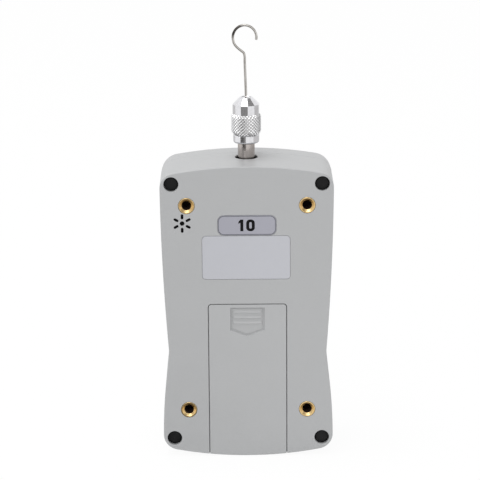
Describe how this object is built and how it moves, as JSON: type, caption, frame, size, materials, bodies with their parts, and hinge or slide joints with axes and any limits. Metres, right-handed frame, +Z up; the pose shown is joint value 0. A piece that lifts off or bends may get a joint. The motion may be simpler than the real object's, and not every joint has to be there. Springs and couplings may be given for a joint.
{
  "type": "digital force gauge",
  "caption": "Hand-held digital force gauge with a wire hook in a knurled collet chuck, display, keys and a sliding battery door.",
  "frame": {"origin": "under the axis of the measuring shaft, at the lowest point of the housing", "axes": "+Z up along the measuring shaft towards the hook, +Y out of the display face, +X to the right seen from the back"},
  "size_m": [0.0748, 0.0382, 0.1903],
  "materials": {
    "housing_plastic": "fine semi-gloss texture",
    "black_steel": "black oxide",
    "brass": "turned",
    "label_foil": "satin film",
    "shaft_steel": "ground",
    "nickel": "polished",
    "spring_wire": "drawn wire",
    "aluminium": "milled",
    "gauge_film": "thin film",
    "window": "polished",
    "lcd": "glass over liquid crystal",
    "diffuser": "frosted",
    "laminate": "solder mask",
    "black_plastic": "moulded",
    "key_rubber": "matt",
    "cell_jacket": "printed sleeve"
  },
  "bodies": {
    "housing": {"rear_cover": "housing_plastic", "front_cover": "housing_plastic", "housing_screw_top_left": "black_steel", "housing_screw_top_right": "black_steel", "housing_screw_bottom_left": "black_steel", "housing_screw_bottom_right": "black_steel", "mounting_insert_top_left": "brass", "mounting_insert_top_right": "brass", "mounting_insert_bottom_left": "brass", "mounting_insert_bottom_right": "brass", "capacity_label": "label_foil", "blank_label": "label_foil", "load_cell": "aluminium", "load_cell_bracket": "aluminium", "strain_gauge_upper": "gauge_film", "strain_gauge_lower": "gauge_film", "load_cell_screw_inner": "black_steel", "load_cell_screw_outer": "black_steel", "bracket_screw_inner": "black_steel", "bracket_screw_outer": "black_steel", "display_window": "window", "lcd_panel": "lcd", "lcd_backlight": "diffuser", "main_board": "laminate", "controller_chip": "black_plastic", "board_screw_top_left": "shaft_steel", "board_screw_top_right": "shaft_steel", "board_screw_bottom_left": "shaft_steel", "board_screw_bottom_right": "shaft_steel", "buzzer": "black_plastic", "usb_socket": "nickel", "power_jack": "black_plastic", "switch_power": "black_plastic", "switch_zero": "black_plastic", "switch_peak": "black_plastic", "switch_unit": "black_plastic", "switch_memory": "black_plastic", "switch_send": "black_plastic", "battery_tray": "black_plastic", "battery_cell_left": "cell_jacket", "battery_cell_right": "cell_jacket", "battery_contact_bridge": "nickel", "battery_contact_negative": "nickel", "battery_contact_positive": "nickel", "battery_spring_negative": "nickel", "battery_spring_bridge": "nickel"},
    "shaft": {"measuring_shaft": "shaft_steel", "shaft_lock_nut": "shaft_steel", "overload_stop_nut": "shaft_steel", "chuck_body": "nickel"},
    "collet": {"chuck_collet": "nickel"},
    "nut": {"chuck_nut": "nickel"},
    "hook": {"hook": "spring_wire"},
    "door": {"battery_door": "housing_plastic"},
    "key_power": {"key_power": "key_rubber"},
    "key_zero": {"key_zero": "key_rubber"},
    "key_peak": {"key_peak": "key_rubber"},
    "key_unit": {"key_unit": "key_rubber"},
    "key_memory": {"key_memory": "key_rubber"},
    "key_send": {"key_send": "key_rubber"}
  },
  "joints": [
    {"name": "shaft_slide", "type": "slide", "parent": "housing", "child": "shaft", "axis": [0, 0, 1], "range_m": [-0.0005, 0.0005], "stiffness_N_per_m": 20000, "deforming": ["load_cell", "strain_gauge_upper", "strain_gauge_lower"]},
    {"name": "collet_slide", "type": "slide", "parent": "shaft", "child": "collet", "axis": [0, 0, 1], "range_m": [0, 0.0015]},
    {"name": "nut_turn", "type": "hinge", "parent": "collet", "child": "nut", "pos_m": [0, 0, 0.14215], "axis": [0, 0, 1], "range_deg": [0, 720]},
    {"name": "hook_pull", "type": "slide", "parent": "collet", "child": "hook", "axis": [0, 0, 1], "range_m": [0, 0.0145]},
    {"name": "door_slide", "type": "slide", "parent": "housing", "child": "door", "axis": [0, 0, -1], "range_m": [0, 0.072]},
    {"name": "key_power_press", "type": "slide", "parent": "housing", "child": "key_power", "axis": [0, -1, 0], "range_m": [0, 0.0006], "stiffness_N_per_m": 1500},
    {"name": "key_zero_press", "type": "slide", "parent": "housing", "child": "key_zero", "axis": [0, -1, 0], "range_m": [0, 0.0006], "stiffness_N_per_m": 1500},
    {"name": "key_peak_press", "type": "slide", "parent": "housing", "child": "key_peak", "axis": [0, -1, 0], "range_m": [0, 0.0006], "stiffness_N_per_m": 1500},
    {"name": "key_unit_press", "type": "slide", "parent": "housing", "child": "key_unit", "axis": [0, -1, 0], "range_m": [0, 0.0006], "stiffness_N_per_m": 1500},
    {"name": "key_memory_press", "type": "slide", "parent": "housing", "child": "key_memory", "axis": [0, -1, 0], "range_m": [0, 0.0006], "stiffness_N_per_m": 1500},
    {"name": "key_send_press", "type": "slide", "parent": "housing", "child": "key_send", "axis": [0, -1, 0], "range_m": [0, 0.0006], "stiffness_N_per_m": 1500}
  ],
  "couplings": [
    {"joint": "nut_turn", "follows": "collet_slide", "rad_per_m": 8377.6}
  ]
}
